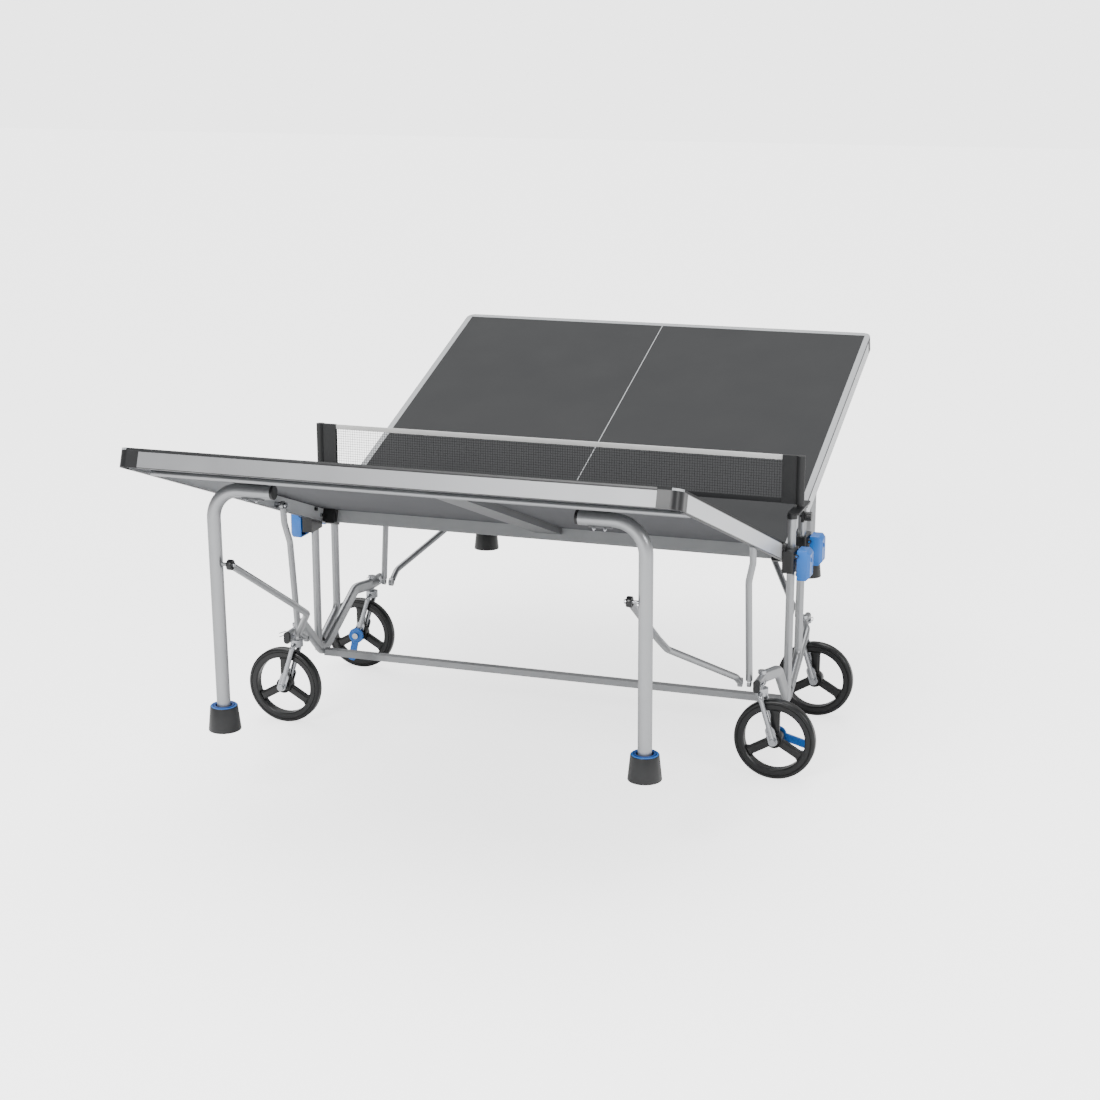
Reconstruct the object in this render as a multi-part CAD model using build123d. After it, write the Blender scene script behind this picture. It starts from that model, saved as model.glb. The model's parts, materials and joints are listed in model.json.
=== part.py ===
from build123d import *
import math
import os

os.makedirs("parts", exist_ok=True)

# Folding table-tennis table, part-folded. Millimetres, +Z up, +Y along the length.
# The origin is on the floor under the middle of the net.

# ---- driving dimensions -------------------------------------------------
TABLE_LENGTH = 2740
TABLE_WIDTH = 1525
PLAY_HEIGHT = 760
NET_HEIGHT = 152.5
CENTRE_GAP = 10             # between the two tops when they lie flat
REST_TILT = 19.6            # degrees that each top slopes up from the middle
TOP_THICKNESS = 6
CORNER_RADIUS = 28
HALF_WIDTH = TABLE_WIDTH / 2
HALF_LENGTH = (TABLE_LENGTH - CENTRE_GAP) / 2

# Slider pivot on each half: distance out from the inner edge, and depth below the top.
PIVOT_OUT = 110
PIVOT_DEPTH = 16
SLIDE_PER_RADIAN = 255      # drop of the sliders for each radian of fold
PIVOT_PIN_RADIUS = 6

# Aprons under the edge of each top.
APRON_HEIGHT = 46
APRON_WALL = 3
APRON_LIP = 15
CAP_REACH = 62
CAP_WALL = 5
INNER_BLOCK = 45
INNER_APRON_SETBACK = 20
INNER_APRON_HEIGHT = 40
CENTRE_RAIL_WIDTH = 90
CENTRE_RAIL_DEPTH = 20
CENTRE_RAIL_WALL = 2
RAIL_CORNER = 9
CROSS_TUBE_OUT = HALF_LENGTH - 164
CROSS_TUBE_DEPTH = 46
CROSS_TUBE_RADIUS = 8

# Legs: each is an inverted L that turns on its own horizontal tube.
LEG_OUT = HALF_LENGTH - 259
LEG_DEPTH = 65
LEG_LENGTH = PLAY_HEIGHT - LEG_DEPTH    # pivot to the sole of the foot
LEG_X = HALF_WIDTH - 151.5
LEG_RADIUS = 19
LEG_WALL = 1.5
LEG_BEND = 85
LEG_INNER_X = LEG_X - 178
LEG_LEAN = 1.2              # degrees, foot towards the middle
BRACKET_X = LEG_X - 121
BRACKET_WIDTH = 60
BRACKET_REACH = LEG_RADIUS + 4
BRACKET_MOUTH = 2            # how far the saddle wraps past the middle of the tube
FOOT_HEIGHT = 70
FOOT_TOP_RADIUS = 38.5
FOOT_SOLE_RADIUS = 46
FOOT_POCKET_DEPTH = 47
FOOT_TRAVEL = 15

# Heights above the floor that stack up from the wheels.
WHEEL_RADIUS = 122
FORK_TOP_Z = WHEEL_RADIUS + 140
LINK_Z = FORK_TOP_Z + 38
RAIL_DIP_Z = LINK_Z - 140

# Distances out from the middle: post, then the rail, links and net beside it.
POST_X = HALF_WIDTH + 17.5
RAIL_MID_X = POST_X - 3
RAIL_END_X = POST_X - 30
NET_POST_X = POST_X + 6

# Links between chassis, halves and legs.
LINK_Y = 340
ARM_OUT = 400
ARM_DEPTH = 36
ARM_RADIUS = 10
ARM_TOP_X = RAIL_END_X - 15
ARM_LOW_X = RAIL_END_X - 28
ARM_EYE = 12
ARM_EYE_WIDTH = 10
STRUT_DROP = 213            # down the leg from its pivot
STRUT_TOP_X = LEG_X - 43
STRUT_FOOT_X = LEG_X - 59    # beside the foot, which it passes as the legs fold
STRUT_LOW_X = RAIL_END_X - 55
STRUT_RADIUS = 10
STRUT_EYE = 14
STRUT_EYE_WIDTH = 12
PIN_RADIUS = 5
RUNNING_GAP = 0.05          # radial, pin in eye
SLIDE_GAP = 0.3             # radial, plastic on tube

# Chassis.
RAIL_HEIGHT = 38
RAIL_WIDTH = 20
RAIL_WALL = 2
RAIL_END_Y = 362
RAIL_TURN_Y = 262
RAIL_ARCH_Y = 200
RAIL_DIP_Y = -50             # the low point stands under the near post
RAIL_BEND = 45
CROSS_BAR_DEPTH = 26
CROSS_BAR_HEIGHT = 20
POST_Y = 75
POST_RADIUS = 12.5
POST_WALL = 2
POST_TOP = PLAY_HEIGHT - 10
POST_KINK_Z = 272           # the far post turns here towards the rail's low point
BRACKET_PLATE = 6
POST_CAP = 13
SLEEVE_INNER_X = NET_POST_X - 56
SLEEVE_OUTER_X = NET_POST_X + 13
SLEEVE_DEPTH = 12
NET_POST_RADIUS = 9
NET_LIFT = 4                # net and sleeves above the playing surface
NET_THICKNESS = 3
KNOB_RADIUS = 14
KNOB_LENGTH = 20
KNOB_Z = POST_TOP - 22

# Casters.
WHEEL_WIDTH = 32
RIM_RADIUS = 92
HUB_RADIUS = 25
HUB_WIDTH = 36
SPOKES = 3
SPOKE_WIDTH = 27
SPOKE_DEPTH = 18
CASTER_Y = 298
CASTER_TRAIL = 44
STEM_RADIUS = 8
STEM_NUT_RADIUS = 12
FORK_TUBE_RADIUS = 8
FORK_TUBE_Y = 28
FORK_PAD_WIDTH = 28
FORK_PAD_LENGTH = 62
FORK_PAD_WALL = 5
AXLE_RADIUS = 6
AXLE_HEAD_RADIUS = 10
AXLE_HEAD = 6
BRAKE_DISC_RADIUS = 26
BRAKE_DISC_WIDTH = 8
BRAKE_LEVER_LENGTH = 92
BRAKE_LEVER_WIDTH = 26
BRAKE_OFF_ANGLE = 15        # degrees, lever below the level
BRAKE_ON_ANGLE = 78

# ---- derived places -----------------------------------------------------
TILT = math.radians(REST_TILT)
APRON_LOW = -TOP_THICKNESS - APRON_HEIGHT
APRON_INNER_X = HALF_WIDTH - APRON_WALL
PIVOT_Y = -(CENTRE_GAP / 2 + PIVOT_OUT)
PIVOT_Z = PLAY_HEIGHT - PIVOT_DEPTH - SLIDE_PER_RADIAN * TILT
EDGE_Y = PIVOT_Y + PIVOT_OUT * math.cos(TILT) + PIVOT_DEPTH * math.sin(TILT)
EDGE_Z = PIVOT_Z - PIVOT_OUT * math.sin(TILT) + PIVOT_DEPTH * math.cos(TILT)
HALF_PLACE = Pos(0, EDGE_Y, EDGE_Z) * Rot(-REST_TILT, 0, 0)
SIDES = (-1, 1)


def half_point(out, depth):
    """World y and z of a point on the near half."""
    y = EDGE_Y - out * math.cos(TILT) - depth * math.sin(TILT)
    z = EDGE_Z + out * math.sin(TILT) - depth * math.cos(TILT)
    return y, z


LEG_Y, LEG_Z = half_point(LEG_OUT, LEG_DEPTH)
ARM_Y, ARM_Z = half_point(ARM_OUT, ARM_DEPTH)
LEG_PLACE = Pos(0, LEG_Y, LEG_Z) * Rot(LEG_LEAN, 0, 0)
STRUT_Y = LEG_Y + STRUT_DROP * math.sin(math.radians(LEG_LEAN))
STRUT_Z = LEG_Z - STRUT_DROP * math.cos(math.radians(LEG_LEAN))

parts = {}


# ---- helpers ------------------------------------------------------------
def box(x_range, y_range, z_range):
    """A box between the two ends given for each axis."""
    size = [high - low for low, high in (x_range, y_range, z_range)]
    middle = [(high + low) / 2 for low, high in (x_range, y_range, z_range)]
    return Pos(*middle) * Box(*size)


def rod(start, end, radius):
    """A round bar between two points."""
    start, end = Vector(*start), Vector(*end)
    plane = Plane(origin=start, z_dir=(end - start))
    return extrude(plane * Circle(radius), (end - start).length)


def hollow_sweep(path, outer, inner):
    """A hollow section carried along a path, with the section's x along X."""
    heading = path % 0
    x_dir = (0, 1, 0) if abs(heading.X) > 0.9 else (1, 0, 0)
    plane = Plane(origin=path @ 0, x_dir=x_dir, z_dir=heading)
    return sweep(plane * outer, path=path) - sweep(plane * inner, path=path)


def tube_along(points, radius, wall, bend):
    """A bent round tube with open ends."""
    path = FilletPolyline(*points, radius=bend)
    return hollow_sweep(path, Circle(radius), Circle(radius - wall))


def cylinder_x(x_range, y, z, radius):
    """A round bar along X."""
    return rod((x_range[0], y, z), (x_range[1], y, z), radius)


def cylinder_y(x, y_range, z, radius):
    """A round bar along Y."""
    return rod((x, y_range[0], z), (x, y_range[1], z), radius)


def both_sides(shape):
    """A right-hand piece and its mirror image on the left."""
    return [shape, mirror(shape, about=Plane.YZ)]


def add(name, *solids):
    """Keep the solids of one named piece."""
    found = []
    for item in solids:
        group = item if isinstance(item, (list, tuple)) else [item]
        for shape in group:
            found.extend(shape.solids())
    parts[name] = found


def add_half(name, solids):
    """Keep a piece of the near half and its twin on the far half."""
    add("near_" + name, solids)
    turned = [solid.rotate(Axis.Z, 180) for solid in parts["near_" + name]]
    add("far_" + name, turned)


# ---- one half -----------------------------------------------------------
def top_outline(inset=0):
    """The plan of one top, with its outer corners rounded."""
    radius = CORNER_RADIUS - inset
    width = HALF_WIDTH - inset
    outer = -(HALF_LENGTH - inset)
    with BuildSketch() as sketch:
        with BuildLine():
            Polyline((-width, outer + radius), (-width, 0), (width, 0), (width, outer + radius))
            RadiusArc((width, outer + radius), (width - radius, outer), radius)
            Line((width - radius, outer), (-width + radius, outer))
            RadiusArc((-width + radius, outer), (-width, outer + radius), radius)
        make_face()
    return sketch.sketch


def playing_top():
    """The board of one half."""
    return extrude(top_outline(), -TOP_THICKNESS)


def end_apron():
    """The channel under the outer end, with a lip along its lower edge."""
    reach = HALF_WIDTH - CAP_REACH
    outer = -HALF_LENGTH
    wall = box((-reach, reach), (outer, outer + APRON_WALL), (APRON_LOW, -TOP_THICKNESS))
    lip = box((-reach, reach), (outer, outer + APRON_LIP), (APRON_LOW, APRON_LOW + APRON_WALL))
    return wall + lip


def side_apron():
    """The right-hand side channel, bored for the slider pin."""
    outer = -(HALF_LENGTH - CAP_REACH)
    span = (outer, -INNER_BLOCK)
    wall = box((APRON_INNER_X, HALF_WIDTH), span, (APRON_LOW, -TOP_THICKNESS))
    lip = box((HALF_WIDTH - APRON_LIP, HALF_WIDTH), span, (APRON_LOW, APRON_LOW + APRON_WALL))
    bore_span = (APRON_INNER_X - 1, HALF_WIDTH + 1)
    bore = cylinder_x(bore_span, -PIVOT_OUT, -PIVOT_DEPTH, PIVOT_PIN_RADIUS + RUNNING_GAP)
    return wall + lip - bore


def corner_pieces():
    """Right-hand outer corner cap and inner corner block."""
    ring = top_outline() - top_outline(CAP_WALL)
    outer = -HALF_LENGTH
    window = Pos(HALF_WIDTH - CAP_REACH / 2, outer + CAP_REACH / 2) * Rectangle(CAP_REACH, CAP_REACH)
    cap = Pos(0, 0, -TOP_THICKNESS) * extrude(ring & window, -APRON_HEIGHT)
    inner = HALF_WIDTH - INNER_BLOCK
    block = box((inner, HALF_WIDTH), (-INNER_BLOCK, 0), (APRON_LOW, -TOP_THICKNESS))
    block = fillet(block.edges().filter_by(Axis.Z).sort_by(Axis.X)[-2:], 4)
    return [cap, block]


def inner_apron():
    """The plate under the inner edge."""
    reach = HALF_WIDTH - INNER_BLOCK
    span = (-INNER_APRON_SETBACK - APRON_WALL, -INNER_APRON_SETBACK)
    return box((-reach, reach), span, (-TOP_THICKNESS - INNER_APRON_HEIGHT, -TOP_THICKNESS))


def centre_rail():
    """The channel under the middle of the board, open towards it."""
    span = (-(HALF_LENGTH - APRON_WALL), -INNER_APRON_SETBACK - APRON_WALL)
    low = -TOP_THICKNESS - CENTRE_RAIL_DEPTH
    half = CENTRE_RAIL_WIDTH / 2
    inside = half - CENTRE_RAIL_WALL
    channel = box((-half, half), span, (low, -TOP_THICKNESS))
    return channel - box((-inside, inside), span, (low + CENTRE_RAIL_WALL, -TOP_THICKNESS))


def cross_tube():
    """The tube between the side aprons' lips near the outer end."""
    span = (-HALF_WIDTH + APRON_LIP, HALF_WIDTH - APRON_LIP)
    outer = cylinder_x(span, -CROSS_TUBE_OUT, -CROSS_TUBE_DEPTH, CROSS_TUBE_RADIUS)
    bore = cylinder_x(span, -CROSS_TUBE_OUT, -CROSS_TUBE_DEPTH, CROSS_TUBE_RADIUS - LEG_WALL)
    return outer - bore


def leg_bracket():
    """The right-hand saddle that the leg turns in, with its mouth towards the outer end."""
    across = (BRACKET_X - BRACKET_WIDTH / 2, BRACKET_X + BRACKET_WIDTH / 2)
    along = (-LEG_OUT - BRACKET_MOUTH, -LEG_OUT + BRACKET_REACH)
    block = box(across, along, (-LEG_DEPTH - BRACKET_REACH, -TOP_THICKNESS))
    lower = block.edges().filter_by(Axis.X).sort_by(Axis.Z)[:2]
    block = fillet(lower.sort_by(Axis.Y)[-1], 16)
    return block - cylinder_x(across, -LEG_OUT, -LEG_DEPTH, LEG_RADIUS + SLIDE_GAP)


def half_bolts():
    """Right-hand support-arm pin and apron bolts, all on the apron's inner face."""
    pin_end = ARM_TOP_X - ARM_EYE_WIDTH / 2 - 3
    pin = cylinder_x((pin_end, APRON_INNER_X), -ARM_OUT, -ARM_DEPTH, PIN_RADIUS)
    head = cylinder_x((pin_end - 5, pin_end), -ARM_OUT, -ARM_DEPTH, PIN_RADIUS + 3)
    collar = cylinder_x((ARM_TOP_X + ARM_EYE_WIDTH / 2 + 1, APRON_INNER_X), -ARM_OUT, -ARM_DEPTH, 9)
    bolts = [pin + head + collar]
    for out in (62, 505):
        bolts.append(cylinder_x((APRON_INNER_X - 6, APRON_INNER_X), -out, -ARM_DEPTH + 6, 6))
    return bolts


add_half("top", HALF_PLACE * playing_top())
add_half("end_apron", HALF_PLACE * end_apron())
add_half("side_aprons", [HALF_PLACE * shape for shape in both_sides(side_apron())])
corners = [twin for shape in corner_pieces() for twin in both_sides(shape)]
add_half("corner_caps", [HALF_PLACE * shape for shape in corners])
add_half("inner_apron", HALF_PLACE * inner_apron())
add_half("centre_rail", HALF_PLACE * centre_rail())
add_half("cross_tube", HALF_PLACE * cross_tube())
add_half("leg_brackets", [HALF_PLACE * shape for shape in both_sides(leg_bracket())])
bolts = [twin for shape in half_bolts() for twin in both_sides(shape)]
add_half("half_bolts", [HALF_PLACE * shape for shape in bolts])


# ---- sliders and latch handles ------------------------------------------
SLIDER_TOP = PIVOT_Z - 8
SLIDER_LOW = PIVOT_Z - 75
SLIDER_INNER_X = HALF_WIDTH + 2
SLIDER_OUTER_X = POST_X + 20
SLIDER_Y = (PIVOT_Y - 18, -POST_Y + 22)
EAR_WIDTH = 8
LUG_WIDTH = 6
HANDLE_PIVOT_X = SLIDER_OUTER_X + 7
HANDLE_PIVOT_Z = SLIDER_TOP - 14
HANDLE_Y = (SLIDER_Y[0] + 10, SLIDER_Y[1] - 10)
HANDLE_BARREL = 6
HANDLE_PIN = 3
HANDLE_OUTER_X = SLIDER_OUTER_X + 46
HANDLE_LOW = SLIDER_LOW - 22
HANDLE_TOP = SLIDER_TOP + 2
HANDLE_WALL = 5


def slider_block():
    """The right-hand block on its post, with the pivot pin and the handle's lugs."""
    block = box((SLIDER_INNER_X, SLIDER_OUTER_X), SLIDER_Y, (SLIDER_LOW, SLIDER_TOP))
    block = fillet(block.edges().filter_by(Axis.Z).sort_by(Axis.X)[-2:], 8)
    ear_x = (SLIDER_INNER_X, SLIDER_INNER_X + EAR_WIDTH)
    ear = box(ear_x, (PIVOT_Y - 14, PIVOT_Y + 14), (SLIDER_TOP, PIVOT_Z))
    ear += cylinder_x(ear_x, PIVOT_Y, PIVOT_Z, 14)
    pin = cylinder_x((APRON_INNER_X - 8, ear_x[0]), PIVOT_Y, PIVOT_Z, PIVOT_PIN_RADIUS)
    lugs = []
    for low in (SLIDER_Y[0] + 3, SLIDER_Y[1] - 9):
        across = (SLIDER_OUTER_X - 4, HANDLE_PIVOT_X)
        lug = box(across, (low, low + LUG_WIDTH), (HANDLE_PIVOT_Z - 6, SLIDER_TOP - 8))
        lug += cylinder_y(HANDLE_PIVOT_X, (low, low + LUG_WIDTH), HANDLE_PIVOT_Z, 6)
        lugs.append(lug)
    low, high = (POST_X, -POST_Y, SLIDER_LOW - 1), (POST_X, -POST_Y, SLIDER_TOP + 1)
    bore = rod(low, high, POST_RADIUS + SLIDE_GAP)
    pin_bore = cylinder_y(HANDLE_PIVOT_X, SLIDER_Y, HANDLE_PIVOT_Z, HANDLE_PIN + RUNNING_GAP)
    return block + ear + pin + lugs - bore - pin_bore


def latch_handle():
    """The right-hand paddle that frees the slider."""
    barrel = cylinder_y(HANDLE_PIVOT_X, HANDLE_Y, HANDLE_PIVOT_Z, HANDLE_BARREL)
    pin = cylinder_y(HANDLE_PIVOT_X, (SLIDER_Y[0] + 3, SLIDER_Y[1] - 3), HANDLE_PIVOT_Z, HANDLE_PIN)
    shell_x = (SLIDER_OUTER_X + 4, HANDLE_OUTER_X)
    shell = box(shell_x, HANDLE_Y, (HANDLE_LOW, HANDLE_TOP))
    shell = fillet(shell.edges().filter_by(Axis.Y).sort_by(Axis.X)[-2:], 18)
    shell = chamfer(shell.edges().filter_by(Axis.Y).group_by(Axis.Z)[-1].sort_by(Axis.X)[0], 8)
    scoop_x = (shell_x[0] - 1, HANDLE_OUTER_X - HANDLE_WALL - 10)
    scoop_y = (HANDLE_Y[0] + HANDLE_WALL, HANDLE_Y[1] - HANDLE_WALL)
    scoop = box(scoop_x, scoop_y, (HANDLE_LOW - 1, HANDLE_PIVOT_Z - 16))
    return shell - scoop + barrel + pin


add_half("slider_blocks", both_sides(slider_block()))
handle = latch_handle()
add("near_right_handle", handle)
add("near_left_handle", mirror(handle, about=Plane.YZ))
add("far_left_handle", handle.rotate(Axis.Z, 180))
add("far_right_handle", mirror(handle, about=Plane.XZ))


# ---- legs, feet, links --------------------------------------------------
def leg():
    """The right-hand leg about its own pivot, with a stud for its strut."""
    foot_end = FOOT_HEIGHT - FOOT_POCKET_DEPTH + FOOT_TRAVEL + 7 - LEG_LENGTH
    points = [(LEG_INNER_X, 0, 0), (LEG_X, 0, 0), (LEG_X, 0, foot_end)]
    tube = tube_along(points, LEG_RADIUS, LEG_WALL, LEG_BEND)
    stud_end = STRUT_TOP_X - STRUT_EYE_WIDTH / 2 - 3
    stud = cylinder_x((stud_end, LEG_X - LEG_RADIUS + 1), 0, -STRUT_DROP, PIN_RADIUS)
    return tube + stud


def leg_plug():
    """The right-hand plug in the inner end of the leg tube."""
    head = cylinder_x((LEG_INNER_X - 8, LEG_INNER_X), 0, 0, LEG_RADIUS)
    spigot = cylinder_x((LEG_INNER_X, LEG_INNER_X + 15), 0, 0, LEG_RADIUS - LEG_WALL - RUNNING_GAP)
    return head + spigot


def foot():
    """The right-hand foot: a tapered boot with a pocket for the leg."""
    with BuildPart() as boot:
        with BuildSketch(Plane.XZ):
            with BuildLine():
                Polyline((0, 0), (FOOT_SOLE_RADIUS - 6, 0), (FOOT_SOLE_RADIUS, 6),
                         (FOOT_SOLE_RADIUS - 1, 14), (FOOT_TOP_RADIUS, FOOT_HEIGHT),
                         (0, FOOT_HEIGHT), (0, 0))
            make_face()
        revolve(axis=Axis.Z)
    low = FOOT_HEIGHT - FOOT_POCKET_DEPTH
    pocket = rod((0, 0, low), (0, 0, FOOT_HEIGHT + 1), LEG_RADIUS + SLIDE_GAP)
    return Pos(LEG_X, 0, -LEG_LENGTH) * (boot.part - pocket)


def support_arm():
    """The right-hand arm from the half down to the chassis."""
    run_y = LINK_Y + ARM_Y
    run_z = LINK_Z - ARM_Z
    length = math.hypot(run_y, run_z)
    along = Vector(0, -run_y / length, run_z / length)
    top = Vector(ARM_TOP_X, ARM_Y, ARM_Z)
    low = Vector(ARM_LOW_X, -LINK_Y, LINK_Z)
    bend = top + along * 60
    bend_low = Vector(ARM_LOW_X, bend.Y, bend.Z) + along * 60
    path = [top + along * (ARM_EYE - 3), bend, bend_low, low - along * (ARM_EYE - 3)]
    tube = tube_along([tuple(point) for point in path], ARM_RADIUS, LEG_WALL, 60)
    for point in (top, low):
        span = (point.X - ARM_EYE_WIDTH / 2, point.X + ARM_EYE_WIDTH / 2)
        tube += cylinder_x(span, point.Y, point.Z, ARM_EYE)
        tube -= cylinder_x(span, point.Y, point.Z, PIN_RADIUS + RUNNING_GAP)
    return tube


def leg_strut():
    """The right-hand strut from the leg to the chassis, bent outwards once it is past the foot."""
    top = Vector(STRUT_TOP_X, STRUT_Y, STRUT_Z)
    low = Vector(STRUT_LOW_X, -LINK_Y, LINK_Z)
    along = Vector(0, low.Y - top.Y, low.Z - top.Z).normalized()
    beside = top + along * (LEG_LENGTH - STRUT_DROP - 90)
    past = top + along * (LEG_LENGTH - STRUT_DROP + 26)
    path = [top + along * (STRUT_EYE - 3), Vector(STRUT_FOOT_X, beside.Y, beside.Z),
            Vector(STRUT_FOOT_X, past.Y, past.Z), low - along * 60, low - along * (STRUT_EYE - 3)]
    tube = tube_along([tuple(point) for point in path], STRUT_RADIUS, LEG_WALL, 45)
    for point in (top, low):
        span = (point.X - STRUT_EYE_WIDTH / 2, point.X + STRUT_EYE_WIDTH / 2)
        tube += cylinder_x(span, point.Y, point.Z, STRUT_EYE)
        tube -= cylinder_x(span, point.Y, point.Z, PIN_RADIUS + RUNNING_GAP)
    return tube


add_half("legs", [LEG_PLACE * shape for shape in both_sides(leg())])
add_half("leg_plugs", [LEG_PLACE * shape for shape in both_sides(leg_plug())])
boot = LEG_PLACE * foot()
add("near_right_foot", boot)
add("near_left_foot", mirror(boot, about=Plane.YZ))
add("far_left_foot", boot.rotate(Axis.Z, 180))
add("far_right_foot", mirror(boot, about=Plane.XZ))
add_half("support_arms", both_sides(support_arm()))
add_half("struts", both_sides(leg_strut()))


# ---- chassis ------------------------------------------------------------
def rail_section(inset):
    """The rounded section of a side rail, taken in by an inset all round."""
    return RectangleRounded(RAIL_WIDTH - 2 * inset, RAIL_HEIGHT - 2 * inset, RAIL_CORNER - inset)


def side_rail():
    """The right-hand rail, dipped in the middle and bored for the caster stems."""
    points = [(RAIL_END_X, -RAIL_END_Y, LINK_Z), (RAIL_END_X, -RAIL_TURN_Y, LINK_Z),
              (RAIL_MID_X, -RAIL_ARCH_Y, LINK_Z), (RAIL_MID_X, RAIL_DIP_Y, RAIL_DIP_Z),
              (RAIL_MID_X, RAIL_ARCH_Y + 20, LINK_Z), (RAIL_END_X, RAIL_TURN_Y + 30, LINK_Z),
              (RAIL_END_X, RAIL_END_Y, LINK_Z)]
    path = FilletPolyline(*points, radius=RAIL_BEND)
    rail = hollow_sweep(path, rail_section(0), rail_section(RAIL_WALL))
    for y in (-CASTER_Y, CASTER_Y):
        low, high = (RAIL_END_X, y, LINK_Z - 40), (RAIL_END_X, y, LINK_Z + 40)
        rail -= rod(low, high, STEM_RADIUS + RUNNING_GAP)
    return rail


def rail_plug(sign):
    """A plug in one end of the right-hand rail."""
    start = sign * RAIL_END_Y
    plane = Plane(origin=(RAIL_END_X, start, LINK_Z), x_dir=(1, 0, 0), z_dir=(0, sign, 0))
    head = extrude(plane * rail_section(0), 8)
    return head + extrude(plane * rail_section(RAIL_WALL + RUNNING_GAP), -15)


def link_bolt(sign):
    """The pivot bolt on one end of the right-hand rail."""
    inner = RAIL_END_X - RAIL_WIDTH / 2
    outer = RAIL_END_X + RAIL_WIDTH / 2
    y = sign * LINK_Y
    shank = cylinder_x((ARM_LOW_X + ARM_RADIUS + 2, inner), y, LINK_Z, PIN_RADIUS)
    washer = cylinder_x((inner - 3, inner), y, LINK_Z, 9)
    head = cylinder_x((outer, outer + 6), y, LINK_Z, 8)
    return [shank + washer, head]


def guide_posts():
    """The two right-hand posts that the sliders ride on; the far one leans over at its foot."""
    low, high = (POST_X, -POST_Y, RAIL_DIP_Z + 12), (POST_X, -POST_Y, POST_TOP)
    near_post = rod(low, high, POST_RADIUS) - rod(low, high, POST_RADIUS - POST_WALL)
    foot_y = -POST_Y + 2 * POST_RADIUS
    foot_z = RAIL_DIP_Z + 42
    points = [(POST_X, foot_y, foot_z), (POST_X, POST_Y, POST_KINK_Z), (POST_X, POST_Y, POST_TOP)]
    return [near_post, tube_along(points, POST_RADIUS, POST_WALL, 40)]


def net_bracket():
    """The right-hand plate across the post tops, with the net post and the knob's tab."""
    reach = POST_Y + POST_RADIUS + 2
    outer = POST_X + POST_RADIUS + 10
    plate = box((HALF_WIDTH + 5, outer), (-reach, reach), (POST_TOP, POST_TOP + BRACKET_PLATE))
    plate = fillet(plate.edges().filter_by(Axis.Z), 10)
    for y in (-POST_Y, POST_Y):
        low, high = (POST_X, y, POST_TOP - POST_CAP), (POST_X, y, POST_TOP)
        plate += rod(low, high, POST_RADIUS + 3) - rod(low, high, POST_RADIUS)
    post_top = PLAY_HEIGHT + NET_HEIGHT - 4
    post = rod((NET_POST_X, 0, POST_TOP), (NET_POST_X, 0, post_top), NET_POST_RADIUS)
    tab = box((outer - 8, outer), (-16, 16), (KNOB_Z - 16, POST_TOP + 2))
    bore = cylinder_x((outer - 9, outer + 1), 0, KNOB_Z, 4 + RUNNING_GAP)
    return plate + post + tab - bore


def tension_knob():
    """The right-hand knob that pulls the net tight."""
    outer = POST_X + POST_RADIUS + 10
    knob = cylinder_x((outer + 1, outer + 1 + KNOB_LENGTH), 0, KNOB_Z, KNOB_RADIUS)
    for index in range(6):
        angle = math.radians(60 * index)
        y = (KNOB_RADIUS + 2) * math.sin(angle)
        z = KNOB_Z + (KNOB_RADIUS + 2) * math.cos(angle)
        knob -= cylinder_x((outer, outer + 2 + KNOB_LENGTH), y, z, 4.5)
    return knob + cylinder_x((outer - 14, outer + 2), 0, KNOB_Z, 4)


def net_sleeve():
    """The right-hand sleeve that slips over the net post."""
    low = PLAY_HEIGHT + NET_LIFT
    high = PLAY_HEIGHT + NET_HEIGHT
    body = box((SLEEVE_INNER_X, NET_POST_X), (-SLEEVE_DEPTH / 2, SLEEVE_DEPTH / 2), (low, high))
    body += rod((NET_POST_X, 0, low), (NET_POST_X, 0, high), SLEEVE_OUTER_X - NET_POST_X)
    return body - rod((NET_POST_X, 0, low - 1), (NET_POST_X, 0, high - 4), NET_POST_RADIUS + RUNNING_GAP)


def net():
    """The net between the sleeves."""
    half = NET_THICKNESS / 2
    z_range = (PLAY_HEIGHT + NET_LIFT, PLAY_HEIGHT + NET_HEIGHT)
    return box((-SLEEVE_INNER_X, SLEEVE_INNER_X), (-half, half), z_range)


def cross_bar():
    """The flat bar between the two rails."""
    reach = RAIL_MID_X - RAIL_WIDTH / 2
    half = CROSS_BAR_DEPTH / 2
    wall = RAIL_WALL
    z_range = (RAIL_DIP_Z - CROSS_BAR_HEIGHT / 2, RAIL_DIP_Z + CROSS_BAR_HEIGHT / 2)
    skin = box((-reach, reach), (-half, half), z_range)
    core = box((-reach, reach), (-half + wall, half - wall), (z_range[0] + wall, z_range[1] - wall))
    return Pos(0, RAIL_DIP_Y, 0) * (skin - core)


add("side_rails", both_sides(side_rail()))
add("rail_end_plugs", [twin for sign in SIDES for twin in both_sides(rail_plug(sign))])
chassis_bolts = [bolt for sign in SIDES for bolt in link_bolt(sign)]
add("chassis_bolts", [twin for bolt in chassis_bolts for twin in both_sides(bolt)])
add("cross_bar", cross_bar())
add("guide_posts", [twin for post in guide_posts() for twin in both_sides(post)])
add("net_brackets", both_sides(net_bracket()))
add("net_sleeves", both_sides(net_sleeve()))
add("net", net())
knob = tension_knob()
add("right_tension_knob", knob)
add("left_tension_knob", mirror(knob, about=Plane.YZ))


# ---- casters ------------------------------------------------------------
# Each is built about its stem axis at the floor, trailing towards +X, then placed.
FORK_FACE = FORK_TUBE_Y + FORK_TUBE_RADIUS + 1


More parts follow.
